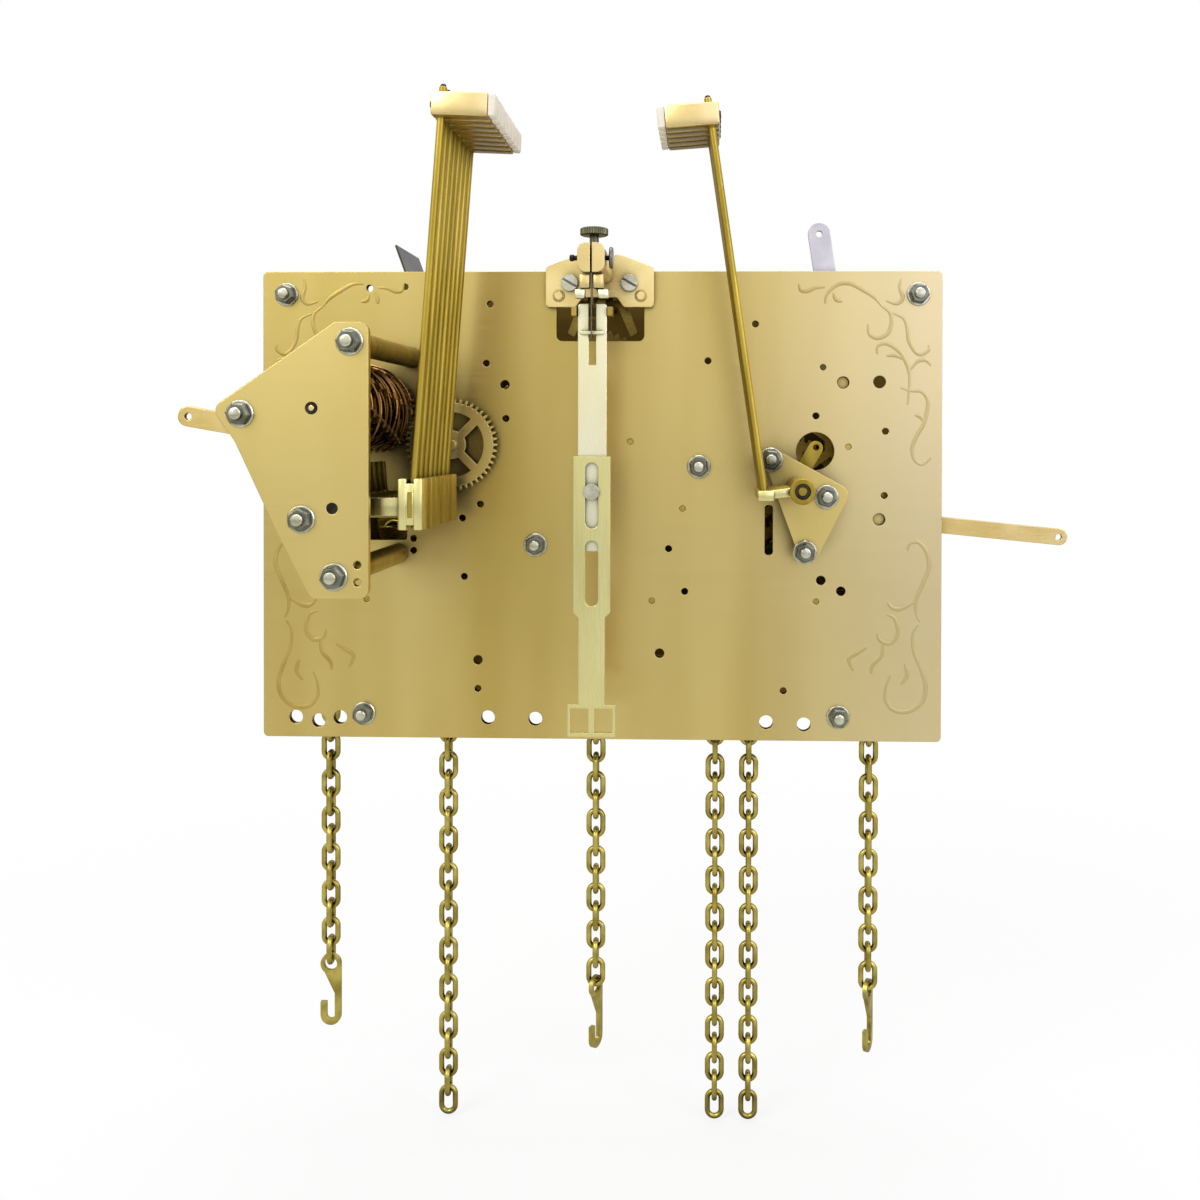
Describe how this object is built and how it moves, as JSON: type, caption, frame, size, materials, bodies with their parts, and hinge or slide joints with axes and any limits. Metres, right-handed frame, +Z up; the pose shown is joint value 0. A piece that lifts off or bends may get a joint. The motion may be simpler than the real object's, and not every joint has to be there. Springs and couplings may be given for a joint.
{
  "type": "longcase clock movement",
  "caption": "Chain-driven longcase clock movement with going, chime and strike trains between brass plates, hammer stacks at the back and a slotted pendulum leader.",
  "frame": {"origin": "midway between the two seat board screw holes, on the line of the plates' bottom edges, midway between the plates", "axes": "+X to the right as seen from behind, +Y towards the dial, +Z up"},
  "size_m": [0.2553, 0.1498, 0.3279],
  "materials": {
    "plate_brass": "brushed lacquered brass plate",
    "rod_brass": "drawn brass",
    "pale_brass": "pale polished brass",
    "wheel_brass": "cut brass",
    "chain_brass": "brass plated chain",
    "copper": "coppered steel",
    "zinc": "bright zinc plate",
    "steel": "polished steel"
  },
  "bodies": {
    "frame": {"back_plate": "plate_brass", "front_plate": "plate_brass", "plate_pillars": "rod_brass", "seat_pillars": "rod_brass", "pillar_nuts": "zinc", "chime_bracket": "plate_brass", "bracket_posts": "rod_brass", "bracket_nuts": "zinc", "chime_hammer_arbor": "steel", "strike_bracket": "plate_brass", "suspension_cock": "plate_brass", "cock_screws": "zinc", "suspension_post": "pale_brass", "suspension_spring": "steel"},
    "pendulum": {"leader_upper": "pale_brass", "leader_lower": "pale_brass", "leader_screw": "zinc"},
    "verge": {"verge": "rod_brass"},
    "escape_wheel": {"escape_wheel": "wheel_brass"},
    "third_wheel": {"third_wheel": "wheel_brass"},
    "centre_wheel": {"centre_wheel": "wheel_brass"},
    "intermediate_wheel": {"intermediate_wheel": "wheel_brass"},
    "time_great_wheel": {"time_great_wheel": "wheel_brass", "time_chain_wrap": "chain_brass"},
    "chime_great_wheel": {"chime_great_wheel": "wheel_brass", "chime_chain_wrap": "chain_brass"},
    "strike_great_wheel": {"strike_great_wheel": "wheel_brass", "strike_chain_wrap": "chain_brass"},
    "chime_second_wheel": {"chime_second_wheel": "wheel_brass"},
    "chime_ratio_wheel": {"chime_ratio_wheel": "wheel_brass"},
    "chime_warning_wheel": {"chime_warning_wheel": "wheel_brass"},
    "chime_fly": {"chime_fly": "steel"},
    "chime_drum": {"chime_drum": "copper"},
    "strike_pin_wheel": {"strike_pin_wheel": "wheel_brass"},
    "strike_warning_wheel": {"strike_warning_wheel": "wheel_brass"},
    "strike_fly": {"strike_fly": "steel"},
    "time_weight_chain": {"time_chain_weight": "chain_brass", "time_hook": "chain_brass"},
    "chime_weight_chain": {"chime_chain_weight": "chain_brass", "chime_hook": "chain_brass"},
    "strike_weight_chain": {"strike_chain_weight": "chain_brass", "strike_hook": "chain_brass"},
    "time_loose_chain": {"time_chain_loose": "chain_brass"},
    "chime_loose_chain": {"chime_chain_loose": "chain_brass"},
    "strike_loose_chain": {"strike_chain_loose": "chain_brass"},
    "strike_hammers": {"strike_arbor": "rod_brass", "strike_hammer_rods": "rod_brass", "strike_hammer_heads": "rod_brass"},
    "chime_lever": {"chime_lever": "rod_brass"},
    "strike_lever": {"strike_lever": "rod_brass"},
    "silence_lever": {"silence_lever": "steel"},
    "suspension_thumbscrew": {"suspension_thumbscrew": "steel"},
    "chime_hammer_1": {"chime_hammer_1": "rod_brass"},
    "chime_hammer_2": {"chime_hammer_2": "rod_brass"},
    "chime_hammer_3": {"chime_hammer_3": "rod_brass"},
    "chime_hammer_4": {"chime_hammer_4": "rod_brass"},
    "chime_hammer_5": {"chime_hammer_5": "rod_brass"},
    "chime_hammer_6": {"chime_hammer_6": "rod_brass"},
    "chime_hammer_7": {"chime_hammer_7": "rod_brass"},
    "chime_hammer_8": {"chime_hammer_8": "rod_brass"}
  },
  "joints": [
    {"name": "pendulum_swing", "type": "hinge", "parent": "frame", "child": "pendulum", "pos_m": [0, -0.054, 0.142], "axis": [0, 1, 0], "range_deg": [-3, 3]},
    {"name": "verge_rock", "type": "hinge", "parent": "frame", "child": "verge", "pos_m": [0, 0, 0.142], "axis": [0, 1, 0], "range_deg": [-3.02, 3.02]},
    {"name": "third_turn", "type": "hinge", "parent": "frame", "child": "third_wheel", "pos_m": [0.0095, 0, 0.09431], "axis": [0, 1, 0], "range_deg": [-2880, 2880]},
    {"name": "escape_turn", "type": "hinge", "parent": "frame", "child": "escape_wheel", "pos_m": [0, 0, 0.11706], "axis": [0, 1, 0], "range_deg": [-21664.8, 21664.8]},
    {"name": "centre_turn", "type": "hinge", "parent": "frame", "child": "centre_wheel", "pos_m": [0, 0, 0.07], "axis": [0, 1, 0], "range_deg": [-361.08, 361.08]},
    {"name": "intermediate_turn", "type": "hinge", "parent": "frame", "child": "intermediate_wheel", "pos_m": [0.02605, 0, 0.07319], "axis": [0, 1, 0], "range_deg": [-60.18, 60.18]},
    {"name": "time_great_turn", "type": "hinge", "parent": "frame", "child": "time_great_wheel", "pos_m": [0.0164, 0, 0.044], "axis": [0, 1, 0], "range_deg": [-8.36, 8.36]},
    {"name": "time_weight_drop", "type": "slide", "parent": "frame", "child": "time_weight_chain", "axis": [0, 0, 1], "range_m": [-0.00297, 0.00297]},
    {"name": "time_loose_rise", "type": "slide", "parent": "frame", "child": "time_loose_chain", "axis": [0, 0, 1], "range_m": [-0.00297, 0.00297]},
    {"name": "chime_warning_turn", "type": "hinge", "parent": "frame", "child": "chime_warning_wheel", "pos_m": [-0.0524, 0, 0.11876], "axis": [0, 1, 0], "range_deg": [-2160, 2160]},
    {"name": "chime_fly_turn", "type": "hinge", "parent": "frame", "child": "chime_fly", "pos_m": [-0.062, 0, 0.14319], "axis": [0, 1, 0], "range_deg": [-12998.88, 12998.88]},
    {"name": "chime_ratio_turn", "type": "hinge", "parent": "frame", "child": "chime_ratio_wheel", "pos_m": [-0.0464, 0, 0.0932], "axis": [0, 1, 0], "range_deg": [-361.08, 361.08]},
    {"name": "chime_second_turn", "type": "hinge", "parent": "frame", "child": "chime_second_wheel", "pos_m": [-0.0564, 0, 0.06893], "axis": [0, 1, 0], "range_deg": [-60.18, 60.18]},
    {"name": "chime_great_turn", "type": "hinge", "parent": "frame", "child": "chime_great_wheel", "pos_m": [-0.0744, 0, 0.044], "axis": [0, 1, 0], "range_deg": [-8.36, 8.36]},
    {"name": "chime_drum_turn", "type": "hinge", "parent": "frame", "child": "chime_drum", "pos_m": [-0.0704, 0, 0.10324], "axis": [0, 1, 0], "range_deg": [-415.24, 415.24]},
    {"name": "chime_weight_drop", "type": "slide", "parent": "frame", "child": "chime_weight_chain", "axis": [0, 0, 1], "range_m": [-0.00297, 0.00297]},
    {"name": "chime_loose_rise", "type": "slide", "parent": "frame", "child": "chime_loose_chain", "axis": [0, 0, 1], "range_m": [-0.00297, 0.00297]},
    {"name": "strike_warning_turn", "type": "hinge", "parent": "frame", "child": "strike_warning_wheel", "pos_m": [0.0782, 0, 0.0928], "axis": [0, 1, 0], "range_deg": [-360, 360]},
    {"name": "strike_fly_turn", "type": "hinge", "parent": "frame", "child": "strike_fly", "pos_m": [0.07019, 0, 0.1178], "axis": [0, 1, 0], "range_deg": [-2166.48, 2166.48]},
    {"name": "strike_pin_turn", "type": "hinge", "parent": "frame", "child": "strike_pin_wheel", "pos_m": [0.06019, 0, 0.07369], "axis": [0, 1, 0], "range_deg": [-60.18, 60.18]},
    {"name": "strike_great_turn", "type": "hinge", "parent": "frame", "child": "strike_great_wheel", "pos_m": [0.0682, 0, 0.044], "axis": [0, 1, 0], "range_deg": [-8.36, 8.36]},
    {"name": "strike_weight_drop", "type": "slide", "parent": "frame", "child": "strike_weight_chain", "axis": [0, 0, 1], "range_m": [-0.00297, 0.00297]},
    {"name": "strike_loose_rise", "type": "slide", "parent": "frame", "child": "strike_loose_chain", "axis": [0, 0, 1], "range_m": [-0.00297, 0.00297]},
    {"name": "chime_hammer_1_lift", "type": "hinge", "parent": "frame", "child": "chime_hammer_1", "pos_m": [-0.0649, 0, 0.0767], "axis": [0, -1, 0], "range_deg": [0, 10]},
    {"name": "chime_hammer_2_lift", "type": "hinge", "parent": "frame", "child": "chime_hammer_2", "pos_m": [-0.0649, 0, 0.0767], "axis": [0, -1, 0], "range_deg": [0, 10]},
    {"name": "chime_hammer_3_lift", "type": "hinge", "parent": "frame", "child": "chime_hammer_3", "pos_m": [-0.0649, 0, 0.0767], "axis": [0, -1, 0], "range_deg": [0, 10]},
    {"name": "chime_hammer_4_lift", "type": "hinge", "parent": "frame", "child": "chime_hammer_4", "pos_m": [-0.0649, 0, 0.0767], "axis": [0, -1, 0], "range_deg": [0, 10]},
    {"name": "chime_hammer_5_lift", "type": "hinge", "parent": "frame", "child": "chime_hammer_5", "pos_m": [-0.0649, 0, 0.0767], "axis": [0, -1, 0], "range_deg": [0, 10]},
    {"name": "chime_hammer_6_lift", "type": "hinge", "parent": "frame", "child": "chime_hammer_6", "pos_m": [-0.0649, 0, 0.0767], "axis": [0, -1, 0], "range_deg": [0, 10]},
    {"name": "chime_hammer_7_lift", "type": "hinge", "parent": "frame", "child": "chime_hammer_7", "pos_m": [-0.0649, 0, 0.0767], "axis": [0, -1, 0], "range_deg": [0, 10]},
    {"name": "chime_hammer_8_lift", "type": "hinge", "parent": "frame", "child": "chime_hammer_8", "pos_m": [-0.0649, 0, 0.0767], "axis": [0, -1, 0], "range_deg": [0, 10]},
    {"name": "strike_hammer_lift", "type": "hinge", "parent": "frame", "child": "strike_hammers", "pos_m": [0.0609, 0, 0.0805], "axis": [0, 1, 0], "range_deg": [0, 10]},
    {"name": "chime_lever_turn", "type": "hinge", "parent": "frame", "child": "chime_lever", "pos_m": [-0.0894, 0, 0.1017], "axis": [0, 1, 0], "range_deg": [-12, 12]},
    {"name": "strike_lever_turn", "type": "hinge", "parent": "frame", "child": "strike_lever", "pos_m": [0.0879, 0, 0.07], "axis": [0, 1, 0], "range_deg": [-8, 8]},
    {"name": "silence_lever_turn", "type": "hinge", "parent": "frame", "child": "silence_lever", "pos_m": [0.0765, 0, 0.113], "axis": [0, 1, 0], "range_deg": [0, 12]},
    {"name": "thumbscrew_turn", "type": "hinge", "parent": "frame", "child": "suspension_thumbscrew", "pos_m": [0, -0.0492, 0.153], "axis": [0, 0, 1], "continuous": true}
  ],
  "couplings": [
    {"joint": "verge_rock", "follows": "pendulum_swing", "ratio": 1},
    {"joint": "escape_turn", "follows": "third_turn", "ratio": -7.5},
    {"joint": "centre_turn", "follows": "third_turn", "ratio": -0.125},
    {"joint": "intermediate_turn", "follows": "third_turn", "ratio": 0.020833},
    {"joint": "time_great_turn", "follows": "third_turn", "ratio": -0.0028935},
    {"joint": "time_weight_drop", "follows": "third_turn", "m_per_rad": -0.000058486},
    {"joint": "time_loose_rise", "follows": "third_turn", "m_per_rad": 0.000058486},
    {"joint": "chime_fly_turn", "follows": "chime_warning_turn", "ratio": -6},
    {"joint": "chime_ratio_turn", "follows": "chime_warning_turn", "ratio": -0.16667},
    {"joint": "chime_second_turn", "follows": "chime_warning_turn", "ratio": 0.027778},
    {"joint": "chime_great_turn", "follows": "chime_warning_turn", "ratio": -0.003858},
    {"joint": "chime_drum_turn", "follows": "chime_warning_turn", "ratio": 0.19167},
    {"joint": "chime_weight_drop", "follows": "chime_warning_turn", "m_per_rad": -0.000077981},
    {"joint": "chime_loose_rise", "follows": "chime_warning_turn", "m_per_rad": 0.000077981},
    {"joint": "strike_fly_turn", "follows": "strike_warning_turn", "ratio": -6},
    {"joint": "strike_pin_turn", "follows": "strike_warning_turn", "ratio": -0.16667},
    {"joint": "strike_great_turn", "follows": "strike_warning_turn", "ratio": 0.023148},
    {"joint": "strike_weight_drop", "follows": "strike_warning_turn", "m_per_rad": -0.00046789},
    {"joint": "strike_loose_rise", "follows": "strike_warning_turn", "m_per_rad": 0.00046789}
  ]
}
